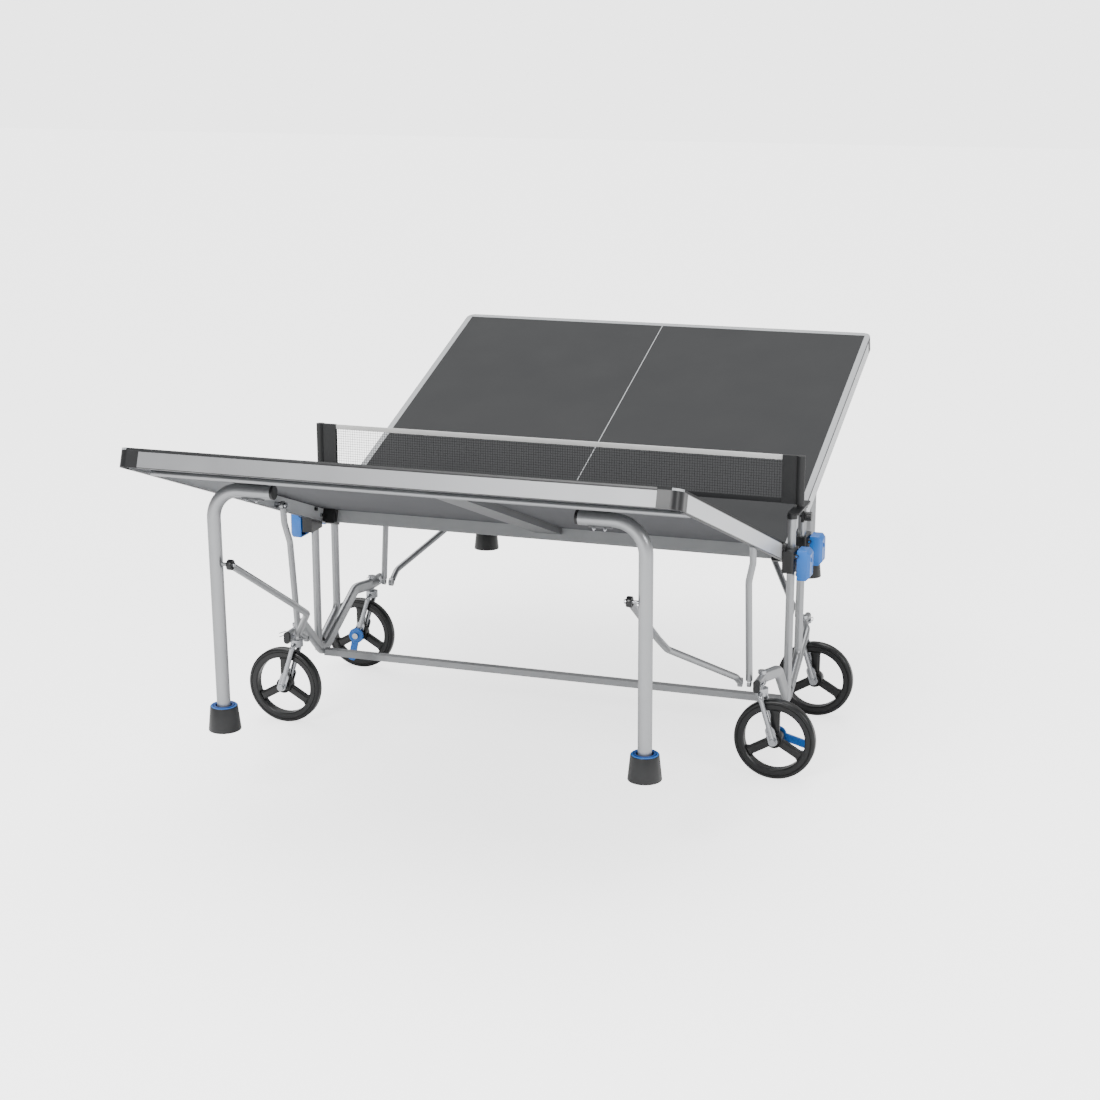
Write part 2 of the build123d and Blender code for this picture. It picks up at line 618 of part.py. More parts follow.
def wheel():
    """Tyre, spokes and hub in one moulding, bored for the axle."""
    axis_z = WHEEL_RADIUS
    half = WHEEL_WIDTH / 2
    tyre = cylinder_y(0, (-half, half), 0, WHEEL_RADIUS)
    tyre = fillet(tyre.edges(), 10)
    tyre -= cylinder_y(0, (-half, half), 0, RIM_RADIUS)
    body = tyre + cylinder_y(0, (-HUB_WIDTH / 2, HUB_WIDTH / 2), 0, HUB_RADIUS)
    for index in range(SPOKES):
        spoke = box((-SPOKE_WIDTH / 2, SPOKE_WIDTH / 2), (-SPOKE_DEPTH / 2, SPOKE_DEPTH / 2),
                    (HUB_RADIUS - 6, RIM_RADIUS + 3))
        body += Rot(0, 360 / SPOKES * index, 0) * spoke
    body -= cylinder_y(0, (-HUB_WIDTH, HUB_WIDTH), 0, AXLE_RADIUS + RUNNING_GAP)
    return Pos(CASTER_TRAIL, 0, axis_z) * body


def fork():
    """Stem, crown and two bent tubes with flat eyes for the axle."""
    crown = rod((0, 0, FORK_TOP_Z - 8), (0, 0, FORK_TOP_Z + 14), 20)
    stem_end = LINK_Z + RAIL_HEIGHT / 2 + 1
    body = crown + rod((0, 0, FORK_TOP_Z), (0, 0, stem_end), STEM_RADIUS)
    body += rod((0, 0, stem_end - 0.5), (0, 0, stem_end + 9), STEM_NUT_RADIUS)
    quarter = [(0, FORK_TUBE_Y, FORK_TOP_Z), (CASTER_TRAIL, FORK_TUBE_Y, WHEEL_RADIUS)]
    mirrored = [(x, -y, z) for x, y, z in reversed(quarter)]
    path = FilletPolyline(*mirrored, *quarter, radius=14)
    body += sweep(Plane(origin=path @ 0, z_dir=path % 0) * Circle(FORK_TUBE_RADIUS), path=path)
    lean = math.degrees(math.atan2(CASTER_TRAIL, FORK_TOP_Z - WHEEL_RADIUS))
    inner = HUB_WIDTH / 2 + 1
    for sign in SIDES:
        outline = SlotOverall(FORK_PAD_LENGTH, FORK_PAD_WIDTH, rotation=90)
        pad = extrude(Plane.XZ * outline, FORK_PAD_WALL)
        pad = Rot(0, -lean, 0) * Pos(0, 0, (FORK_PAD_LENGTH - FORK_PAD_WIDTH) / 2) * pad
        pad = Pos(CASTER_TRAIL, sign * FORK_TUBE_Y + FORK_PAD_WALL / 2, WHEEL_RADIUS) * pad
        boss = cylinder_y(CASTER_TRAIL, (sign * inner, sign * FORK_FACE), WHEEL_RADIUS, AXLE_HEAD_RADIUS)
        body += pad + boss
    return body - cylinder_y(CASTER_TRAIL, (-60, 60), WHEEL_RADIUS, AXLE_RADIUS)


def axle(brake_side):
    """The axle bolt, longer on the side that carries a brake."""
    reach = {side: FORK_FACE for side in SIDES}
    if brake_side:
        reach[brake_side] += BRAKE_DISC_WIDTH + 2
    body = cylinder_y(CASTER_TRAIL, (-reach[-1], reach[1]), WHEEL_RADIUS, AXLE_RADIUS)
    for side in SIDES:
        span = (side * reach[side], side * (reach[side] + AXLE_HEAD))
        body += cylinder_y(CASTER_TRAIL, span, WHEEL_RADIUS, AXLE_HEAD_RADIUS)
    return body


def brake(side, angle):
    """The brake disc and foot lever on the axle, the lever turned down from the level."""
    start = FORK_FACE + 1
    span = (side * start, side * (start + BRAKE_DISC_WIDTH))
    body = cylinder_y(0, span, 0, BRAKE_DISC_RADIUS)
    y_range = sorted(span)
    lever = box((0, BRAKE_LEVER_LENGTH), y_range, (-BRAKE_LEVER_WIDTH / 2, BRAKE_LEVER_WIDTH / 2))
    lever = fillet(lever.edges().filter_by(Axis.Y).sort_by(Axis.X)[-2:], 8)
    body = body + lever - cylinder_y(0, (-90, 90), 0, AXLE_RADIUS + RUNNING_GAP)
    return Pos(CASTER_TRAIL, 0, WHEEL_RADIUS) * Rot(0, angle, 0) * body


def place_caster(shape, x_sign, y_sign):
    """Move a caster piece to its corner, trailing outwards."""
    if x_sign < 0:
        shape = mirror(shape, about=Plane.YZ)
    return Pos(x_sign * RAIL_END_X, y_sign * CASTER_Y, 0) * shape


BRAKED = {("far", "left"): (-1, BRAKE_ON_ANGLE), ("near", "right"): (1, BRAKE_OFF_ANGLE)}
for y_name, y_sign in (("near", -1), ("far", 1)):
    for x_name, x_sign in (("left", -1), ("right", 1)):
        corner = y_name + "_" + x_name
        brake_side, brake_angle = BRAKED.get((y_name, x_name), (0, 0))
        add(corner + "_wheel", place_caster(wheel(), x_sign, y_sign))
        add(corner + "_fork", place_caster(fork(), x_sign, y_sign))
        add(corner + "_axle", place_caster(axle(brake_side), x_sign, y_sign))
        if brake_side:
            add(corner + "_brake", place_caster(brake(brake_side, brake_angle), x_sign, y_sign))

# ---- write --------------------------------------------------------------
for name, solids in parts.items():
    export_step(Compound(children=solids), "parts/" + name + ".step")
print(len(parts), "pieces written")
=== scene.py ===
"""Folding table-tennis table, part-folded on its casters: the finished look over the fixed frame."""
import json
import logging
import math
from collections.abc import Callable, Iterator
from contextlib import contextmanager
from dataclasses import dataclass, field
from enum import Enum

import bmesh
import bpy
from mathutils import Euler, Matrix, Vector


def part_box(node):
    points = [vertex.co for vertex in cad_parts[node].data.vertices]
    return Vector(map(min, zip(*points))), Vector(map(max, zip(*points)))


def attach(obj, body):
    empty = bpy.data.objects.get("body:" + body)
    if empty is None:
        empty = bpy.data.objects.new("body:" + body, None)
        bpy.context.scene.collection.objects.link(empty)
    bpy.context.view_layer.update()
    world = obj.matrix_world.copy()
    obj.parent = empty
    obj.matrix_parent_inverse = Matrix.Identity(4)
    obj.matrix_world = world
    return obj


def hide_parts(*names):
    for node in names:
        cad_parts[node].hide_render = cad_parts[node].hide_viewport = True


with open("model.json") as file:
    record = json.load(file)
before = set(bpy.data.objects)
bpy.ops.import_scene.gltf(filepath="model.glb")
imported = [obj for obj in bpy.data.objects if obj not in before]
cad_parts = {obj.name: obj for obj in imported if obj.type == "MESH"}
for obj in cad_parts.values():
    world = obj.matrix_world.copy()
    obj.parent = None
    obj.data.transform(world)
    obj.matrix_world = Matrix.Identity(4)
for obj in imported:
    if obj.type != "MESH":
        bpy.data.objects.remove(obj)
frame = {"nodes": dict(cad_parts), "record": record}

LOG = logging.getLogger("table_tennis_table")
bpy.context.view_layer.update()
JOINTS = {joint["name"]: joint for joint in frame["record"]["behaviour"]["joints"]}
MM = 0.001

# Sizes of the two tops and where each turns, in metres.
HALF_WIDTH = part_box("near_top")[1].x
TILT = math.radians(-JOINTS["near_fold"]["range_deg"][0])
PIVOT = Vector(JOINTS["near_fold"]["pos_m"])
PIVOT_OUT = 110 * MM
PIVOT_DEPTH = 16 * MM
HALF_LENGTH = 1365 * MM
EDGE = PIVOT + Vector((
    0,
    PIVOT_OUT * math.cos(TILT) + PIVOT_DEPTH * math.sin(TILT),
    -PIVOT_OUT * math.sin(TILT) + PIVOT_DEPTH * math.cos(TILT),
))
SIDES = {"left": -1, "right": 1}
NUT_SIDES = 6


class End(Enum):
    """The two halves of the table."""

    NEAR = "near"
    FAR = "far"

    def place(self) -> Matrix:
        """Return the matrix from a half's own axes, with its inner top edge at the origin, to the frame."""
        near = Matrix.Translation(EDGE) @ Matrix.Rotation(-TILT, 4, "X")
        return near if self is End.NEAR else Matrix.Rotation(math.pi, 4, "Z") @ near

    def turn(self) -> Matrix:
        """Return the half turn that carries a near piece to this end."""
        return Matrix.Identity(4) if self is End.NEAR else Matrix.Rotation(math.pi, 4, "Z")

    def side(self, near_side: str) -> str:
        """Return the side on which a near piece of that side lies once it is turned to this end."""
        if self is End.NEAR:
            return near_side
        return "left" if near_side == "right" else "right"


# ---- modelling by hand ---------------------------------------------------
def select_only(piece: bpy.types.Object) -> None:
    """Make one object the selected and active one."""
    bpy.ops.object.select_all(action="DESELECT")
    piece.select_set(True)
    bpy.context.view_layer.objects.active = piece


@contextmanager
def editing(piece: bpy.types.Object, mode: str = "FACE") -> Iterator[None]:
    """Open a piece in edit mode with nothing selected, and close it again.

    Args:
        piece: The mesh to shape.
        mode: What is selected: VERT, EDGE or FACE.
    """
    select_only(piece)
    bpy.ops.object.mode_set(mode="EDIT")
    bpy.ops.mesh.select_mode(type=mode)
    bpy.ops.mesh.select_all(action="DESELECT")
    yield
    bpy.ops.object.mode_set(mode="OBJECT")


def pick_faces(piece: bpy.types.Object, wanted: Callable[[Vector, Vector], bool]) -> None:
    """Select the faces that a test of middle and normal accepts.

    Args:
        piece: The mesh, open in edit mode.
        wanted: The test of a face's middle and its normal.
    """
    mesh = bmesh.from_edit_mesh(piece.data)
    mesh.normal_update()
    for face in mesh.faces:
        face.select_set(wanted(face.calc_center_median(), face.normal))
    mesh.select_flush_mode()
    bmesh.update_edit_mesh(piece.data)


def pick_edges(piece: bpy.types.Object, wanted: Callable[[Vector, Vector], bool]) -> None:
    """Select the edges that a test of middle and direction accepts.

    Args:
        piece: The mesh, open in edit mode with edges selectable.
        wanted: The test of an edge's middle and its unit direction.
    """
    mesh = bmesh.from_edit_mesh(piece.data)
    for edge in mesh.edges:
        start, end = edge.verts[0].co, edge.verts[1].co
        edge.select_set(wanted((start + end) / 2, (end - start).normalized()))
    mesh.select_flush_mode()
    bmesh.update_edit_mesh(piece.data)


def lathe_blank(name: str, radius: float, depth: float, vertices: int = 64) -> bpy.types.Object:
    """Add a round blank along Z, centred on the origin.

    Args:
        name: The piece's name.
        radius: Its radius.
        depth: Its length.
        vertices: How many sides it has.

    Returns:
        The new object.
    """
    bpy.ops.object.select_all(action="DESELECT")
    bpy.ops.mesh.primitive_cylinder_add(vertices=vertices, radius=radius, depth=depth)
    piece = bpy.context.active_object
    piece.name = name
    return piece


def block(name: str, size: tuple[float, float, float],
          centre: Vector | tuple = (0, 0, 0)) -> bpy.types.Object:
    """Add a rectangular blank with its place in its mesh.

    Args:
        name: The piece's name.
        size: Its lengths along X, Y and Z.
        centre: Its middle.

    Returns:
        The new object.
    """
    bpy.ops.object.select_all(action="DESELECT")
    bpy.ops.mesh.primitive_cube_add(size=1, location=centre, scale=size)
    piece = bpy.context.active_object
    piece.name = name
    bpy.ops.object.transform_apply(location=True, rotation=True, scale=True)
    return piece


def step_in(thickness: float, depth: float = 0.0) -> None:
    """Inset the selected faces, each on its own, and sink or raise what is inside.

    Args:
        thickness: How far in the new edge lies.
        depth: How far the inner face is raised, or sunk if negative.
    """
    bpy.ops.mesh.inset(thickness=thickness, depth=depth, use_individual=True)


def soften(piece: bpy.types.Object, width: float, segments: int = 2, angle: float = 40) -> None:
    """Round a piece's edges with an applied bevel and shade it smooth between sharp angles.

    Args:
        piece: The mesh to finish.
        width: The bevel's width.
        segments: The bevel's steps.
        angle: The sharpest angle in degrees that stays unbevelled.
    """
    select_only(piece)
    if width > 0:
        bevel = piece.modifiers.new("edge", "BEVEL")
        bevel.width = width
        bevel.segments = segments
        bevel.limit_method = "ANGLE"
        bevel.angle_limit = math.radians(angle)
        bpy.ops.object.modifier_apply(modifier=bevel.name)
    bpy.ops.object.shade_smooth_by_angle(angle=math.radians(35))


def joined(name: str, pieces: list[bpy.types.Object]) -> bpy.types.Object:
    """Join several meshes into one piece.

    Args:
        name: The piece's name.
        pieces: The meshes, of which the first is kept.

    Returns:
        The joined object.
    """
    bpy.ops.object.select_all(action="DESELECT")
    for piece in pieces:
        piece.select_set(True)
    bpy.context.view_layer.objects.active = pieces[0]
    bpy.ops.object.join()
    pieces[0].name = name
    return pieces[0]


def placed(pattern: bpy.types.Object, name: str, matrix: Matrix) -> bpy.types.Object:
    """Copy a finished pattern with its own mesh, and put the copy's place in that mesh.

    Args:
        pattern: The piece that was modelled once.
        name: The copy's name.
        matrix: Where the copy goes.

    Returns:
        The copy.
    """
    copy = pattern.copy()
    copy.data = pattern.data.copy()
    copy.name = name
    bpy.context.scene.collection.objects.link(copy)
    copy.data.transform(matrix)
    if matrix.determinant() < 0:
        copy.data.flip_normals()
    return copy


def discard(*pieces: bpy.types.Object) -> None:
    """Remove patterns once their copies are made."""
    for piece in pieces:
        bpy.data.objects.remove(piece, do_unlink=True)


def mount(piece: bpy.types.Object, body: str, material: bpy.types.Material) -> bpy.types.Object:
    """Give a piece its finish and the body it rides on.

    Args:
        piece: The finished mesh.
        body: The CAD body that it moves with.
        material: The material that it wears.

    Returns:
        The piece.
    """
    piece.data.materials.clear()
    piece.data.materials.append(material)
    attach(piece, body)
    return piece


def dress(nodes: list[str], material: bpy.types.Material) -> None:
    """Put a material on CAD nodes that keep their own shape."""
    for node in nodes:
        for place in frame["nodes"][node].material_slots:
            place.material = material


# ---- finishes --------------------------------------------------------------
def linear(colour: str) -> tuple[float, float, float, float]:
    """Turn an sRGB hex colour into linear RGBA."""
    values = [int(colour[i:i + 2], 16) / 255 for i in (1, 3, 5)]
    return (*(v / 12.92 if v <= 0.04045 else ((v + 0.055) / 1.055) ** 2.4 for v in values), 1.0)


def add_node(tree: bpy.types.NodeTree, kind: str, sockets: dict, **settings) -> bpy.types.Node:
    """Add a shader node with its settings, values and links.

    Args:
        tree: The material's node tree.
        kind: The node's type.
        sockets: For each input's name or number, a value or the output it is linked to.
        **settings: The node's own settings.

    Returns:
        The new node.
    """
    node = tree.nodes.new(kind)
    for name, value in settings.items():
        setattr(node, name, value)
    for socket, value in sockets.items():
        if isinstance(value, bpy.types.NodeSocket):
            tree.links.new(value, node.inputs[socket])
        else:
            node.inputs[socket].default_value = value
    return node


@dataclass(frozen=True)
class Finish:
    """A surface finish with a soft drift of colour and a fine grain.

    Sizes are in millimetres. A grain finer than about 1.5 mm is drawn that coarse, so that it shows.
    """

    name: str
    colour: str
    shade: str
    roughness: float
    metallic: float = 0.0
    grain: float = 1.5
    relief: float = 0.05
    drift: float = 90.0
    coat: float = 0.0
    sheen: float = 0.5

    def pattern(self, tree: bpy.types.NodeTree, point: bpy.types.NodeSocket,
                base: bpy.types.NodeSocket) -> bpy.types.NodeSocket:
        """Return the surface colour; a plain finish leaves the drifting base as it is."""
        return base

    def height(self, tree: bpy.types.NodeTree, point: bpy.types.NodeSocket) -> bpy.types.NodeSocket:
        """Return the height of the grain, from 0 to 1."""
        return add_node(tree, "ShaderNodeTexNoise", {"Vector": point, "Scale": 1000 / self.grain,
                                                     "Detail": 2.0}).outputs["Fac"]

    def material(self) -> bpy.types.Material:
        """Return the finish's material, made once."""
        known = bpy.data.materials.get(self.name)
        if known:
            return known
        made = bpy.data.materials.new(self.name)
        made.use_nodes = True
        tree = made.node_tree
        shader = tree.nodes["Principled BSDF"]
        point = add_node(tree, "ShaderNodeTexCoord", {}).outputs["Object"]
        drift = add_node(tree, "ShaderNodeTexNoise", {"Vector": point, "Scale": 1000 / self.drift,
                                                      "Detail": 3.0}).outputs["Fac"]
        base = add_node(tree, "ShaderNodeMix", {"Factor": drift, 6: linear(self.shade),
                                                7: linear(self.colour)}, data_type="RGBA").outputs[2]
        tree.links.new(self.pattern(tree, point, base), shader.inputs["Base Color"])
        rough = add_node(tree, "ShaderNodeMapRange", {"Value": drift, "To Min": self.roughness - 0.05,
                                                      "To Max": self.roughness + 0.05})
        tree.links.new(rough.outputs["Result"], shader.inputs["Roughness"])
        bump = add_node(tree, "ShaderNodeBump", {"Height": self.height(tree, point), "Strength": 0.6,
                                                 "Distance": self.relief * MM})
        tree.links.new(bump.outputs["Normal"], shader.inputs["Normal"])
        shader.inputs["Metallic"].default_value = self.metallic
        shader.inputs["Specular IOR Level"].default_value = self.sheen
        shader.inputs["Coat Weight"].default_value = self.coat
        shader.inputs["Coat Roughness"].default_value = 0.25
        return made


def compare(tree: bpy.types.NodeTree, operation: str, first: object, second: object) -> bpy.types.NodeSocket:
    """Return one sum, product or comparison of two numbers.

    Args:
        tree: The material's node tree.
        operation: The Math node's operation.
        first: A number or an output.
        second: A number or an output.

    Returns:
        The result's output.
    """
    return add_node(tree, "ShaderNodeMath", {0: first, 1: second}, operation=operation).outputs[0]


@dataclass(frozen=True)
class HalfFinish(Finish):
    """A finish whose pattern follows one half of the table."""

    end: End = End.NEAR

    def own_axes(self, tree: bpy.types.NodeTree, point: bpy.types.NodeSocket) -> bpy.types.Node:
        """Return a node whose X, Y and Z lie along the half: across, along and up from its top."""
        turn = Euler((-TILT, 0, 0 if self.end is End.NEAR else math.pi))
        mapping = add_node(tree, "ShaderNodeMapping", {"Vector": point, "Rotation": turn,
                                                       "Location": self.end.place().translation},
                           vector_type="TEXTURE")
        return add_node(tree, "ShaderNodeSeparateXYZ", {"Vector": mapping.outputs["Vector"]})


@dataclass(frozen=True)
class PlayingBoard(HalfFinish):
    """Matt laminate with painted lines on its top and a paler underside."""

    line: str = "#AEB0B2"
    underside: str = "#515255"
    rim: str = "#9DA0A3"
    side: str = "#1E1F20"
    border: float = 20.0
    centre_line: float = 3.0

    def pattern(self, tree: bpy.types.NodeTree, point: bpy.types.NodeSocket,
                base: bpy.types.NodeSocket) -> bpy.types.NodeSocket:
        """Paint the border, the centre line, the rim and the underside over the base colour."""
        axes = self.own_axes(tree, point)
        across = compare(tree, "ABSOLUTE", axes.outputs["X"], 0.0)
        outward = compare(tree, "MULTIPLY", axes.outputs["Y"], -1.0)
        edge = compare(tree, "MAXIMUM", compare(tree, "SUBTRACT", across, HALF_WIDTH),
                       compare(tree, "SUBTRACT", outward, HALF_LENGTH))
        border = compare(tree, "GREATER_THAN", edge, -self.border * MM)
        centre = compare(tree, "LESS_THAN", across, self.centre_line * MM / 2)
        painted = compare(tree, "MAXIMUM", border, centre)
        colour = add_node(tree, "ShaderNodeMix", {"Factor": painted, 6: base, 7: linear(self.line)},
                          data_type="RGBA").outputs[2]
        rim = compare(tree, "GREATER_THAN", edge, -2.5 * MM)
        colour = add_node(tree, "ShaderNodeMix", {"Factor": rim, 6: colour, 7: linear(self.rim)},
                          data_type="RGBA").outputs[2]
        side = compare(tree, "GREATER_THAN", edge, -0.2 * MM)
        colour = add_node(tree, "ShaderNodeMix", {"Factor": side, 6: colour, 7: linear(self.side)},
                          data_type="RGBA").outputs[2]
        below = compare(tree, "LESS_THAN", axes.outputs["Z"], -5.9 * MM)
        return add_node(tree, "ShaderNodeMix", {"Factor": below, 6: colour, 7: linear(self.underside)},
                        data_type="RGBA").outputs[2]


@dataclass(frozen=True)
class ApronCoat(HalfFinish):
    """Powder coat on an apron, with the painted shadow line along its rolled edges."""

    # Colour of the painted shade along the rolled edges.
    seam: str = "#2A2B2D"
    top: float = 6.0
    depth: float = 46.0

    def pattern(self, tree: bpy.types.NodeTree, point: bpy.types.NodeSocket,
                base: bpy.types.NodeSocket) -> bpy.types.NodeSocket:
        """Paint the shade along the two rolled edges as thin dark lines."""
        height = self.own_axes(tree, point).outputs["Z"]
        middle = compare(tree, "ADD", height, (self.top + self.depth / 2) * MM)
        away = compare(tree, "ABSOLUTE", middle, 0.0)
        # Mask of the painted shadow lines, 1.8 mm wide at the top and bottom of the apron.
        seam = compare(tree, "GREATER_THAN", away, (self.depth / 2 - 1.8) * MM)
        return add_node(tree, "ShaderNodeMix", {"Factor": seam, 6: base, 7: linear(self.seam)},
                        data_type="RGBA").outputs[2]


@dataclass(frozen=True)
class Weave(Finish):
    """Woven tape: two crossing sets of threads."""

    thread: float = 2.0

    def height(self, tree: bpy.types.NodeTree, point: bpy.types.NodeSocket) -> bpy.types.NodeSocket:
        """Return the height of the crossing threads."""
        waves = [add_node(tree, "ShaderNodeTexWave", {"Vector": point, "Scale": 314 / self.thread},
                          bands_direction=axis).outputs["Fac"] for axis in ("X", "Z")]
        return compare(tree, "MULTIPLY", waves[0], waves[1])


# Powder-coated steel tube: sprayed and baked, it gives a broad soft highlight and faint orange peel.
SILVER = Finish("powder_coated_steel_silver", "#A3A4A6", "#97999B", 0.3, 0.7, 1.6, 0.03)
# Zinc-plated steel: bright, a little cloudy where the plating varies.
ZINC = Finish("zinc_plated_steel", "#BFC1C4", "#9FA1A5", 0.22, 0.9, 1.5, 0.04, 14)
# Powder-coated sheet in grey, under the boards.
GREY = Finish("powder_coated_sheet_grey", "#6A6B6D", "#636466", 0.5, 0.2, 1.8, 0.04)
# The same coat on the inner aprons, painted paler: painted light for the light that falls on them.
LIT_GREY = Finish("powder_coated_sheet_grey_painted_light", "#A9ABAD", "#A0A2A4", 0.45, 0.2, 1.8, 0.04)
# Moulded polypropylene in black: a faint spark-eroded grain.
BLACK = Finish("moulded_polypropylene_black", "#17181A", "#111213", 0.38, 0.0, 1.5, 0.09, 40)
# Moulded polyamide in blue: smoother, with a slight gloss.
BLUE = Finish("moulded_polyamide_blue", "#1E6FC6", "#1963B6", 0.36, 0.0, 1.5, 0.04, 40, 0.15)
# The same plastic in a deeper blue, for the feet's inner rings.
DEEP_BLUE = Finish("moulded_polyamide_deep_blue", "#1C4E9C", "#17448C", 0.4, 0.0, 1.5, 0.04, 40)
# Moulded tyre rubber: dark, satin, finely grained.
RUBBER = Finish("moulded_rubber_black", "#121314", "#0D0E0F", 0.32, 0.0, 1.6, 0.12, 30)
# Twisted polyester thread of the net.
THREAD = Finish("twisted_polyester_thread", "#1B1C1E", "#141517", 0.8, 0.0, 1.5, 0.1, 12)
# Woven cotton tapes along the net, with threads drawn 2 mm wide so that they show.
WHITE_TAPE = Weave("woven_cotton_tape_white", "#D6D6D5", "#C9C9C7", 0.85, 0.0, 1.5, 0.25, 25)
DARK_TAPE = Weave("woven_cotton_tape_dark", "#1F2022", "#18191B", 0.85, 0.0, 1.5, 0.25, 25)
# Coated canvas of the sleeves.
CANVAS = Weave("coated_canvas_black", "#1E1F20", "#17181A", 0.55, 0.0, 1.5, 0.2, 25)


# ---- the two halves --------------------------------------------------------
@dataclass
class TableHalf:
    """One board with its aprons, stiffener, corner mouldings and leg fittings."""

    end: End
    trim_height: float = 9 * MM
    trim_depth: float = 4 * MM
    trim_proud: float = 1 * MM
    cap_reach: float = 62 * MM
    bolt_radius: float = 5 * MM
    bolt_depth: float = 6 * MM
    dome_height: float = 3 * MM
    dome_share: float = 0.6
    bracket_x: tuple[float, float] = (475 * MM, 505 * MM)
    bracket_out: float = 1106 * MM
    bracket_low: float = 88 * MM

    def dress_frame(self) -> None:
        """Put finishes on the nodes that keep their CAD shape."""
        name = self.end.value
        board = PlayingBoard(f"matt_laminate_board_{name}", "#27282A", "#252627", roughness=0.7, grain=1.6,
                             drift=200, sheen=0.3, end=self.end)
        end_apron = ApronCoat(f"powder_coated_apron_silver_{name}", "#8E8F91", "#868789", roughness=0.38,
                              metallic=0.4, grain=1.6, relief=0.03, end=self.end)
        # Painted light: the side aprons wear a much paler copy of the end aprons' coat, for the light that
        # falls on their sides.
        side_apron = ApronCoat(f"powder_coated_apron_white_{name}", "#D6D8DA", "#CDCFD2", roughness=0.3,
                               metallic=0.3, grain=1.6, relief=0.03, end=self.end)
        dress([f"{name}_top"], board.material())
        dress([f"{name}_end_apron"], end_apron.material())
        dress([f"{name}_side_aprons"], side_apron.material())
        # Painted light: the inner aprons wear a paler copy of the grey coat.
        dress([f"{name}_inner_apron"], LIT_GREY.material())
        dress([f"{name}_centre_rail"], GREY.material())
        dress([f"{name}_cross_tube"], SILVER.material())
        dress([f"{name}_half_bolts"], ZINC.material())
        dress([f"{name}_leg_brackets"], GREY.material())
        dress([f"{name}_corner_caps"], BLACK.material())

    def build_trim(self) -> bpy.types.Object:
        """Return the black moulding along the top edge of the end apron."""
        length = 2 * (HALF_WIDTH - self.cap_reach)
        centre = Vector((0, -HALF_LENGTH - self.trim_proud + self.trim_depth / 2, -self.trim_height / 2))
        trim = block(f"{self.end.value}_edge_trim", (length, self.trim_depth, self.trim_height), centre)
        with editing(trim, "EDGE"):
            pick_edges(trim, lambda middle, run: abs(run.x) > 0.9 and middle.y < centre.y)
            bpy.ops.mesh.bevel(offset=1.5 * MM, segments=3)
        soften(trim, 0.0)
        trim.data.transform(self.end.place())
        return mount(trim, f"{self.end.value}_half", BLACK.material())

    def build_bracket_bolts(self) -> list[bpy.types.Object]:
        """Return the dome nuts under the two leg brackets."""
        nut = lathe_blank("dome_nut", self.bolt_radius, self.bolt_depth, NUT_SIDES)
        with editing(nut):
            pick_faces(nut, lambda middle, normal: normal.z < -0.9)
            step_in(1.2 * MM)
            bpy.ops.mesh.extrude_region_move(TRANSFORM_OT_translate={"value": (0, 0, -self.dome_height)})
            bpy.ops.transform.resize(value=(self.dome_share, self.dome_share, 1))
        soften(nut, 0.6 * MM)
        nuts = []
        for side, sign in SIDES.items():
            for number, x in enumerate(self.bracket_x):
                spot = Vector((sign * x, -self.bracket_out, -self.bracket_low - self.bolt_depth / 3))
                copy = placed(nut, f"{self.end.value}_{side}_bracket_nut_{number}",
                              self.end.place() @ Matrix.Translation(spot))
                nuts.append(mount(copy, f"{self.end.value}_half", ZINC.material()))
        discard(nut)
        return nuts

    def build(self) -> int:
        """Dress and detail the half, and return how many new pieces it has."""
        self.dress_frame()
        self.build_trim()
        return 1 + len(self.build_bracket_bolts())


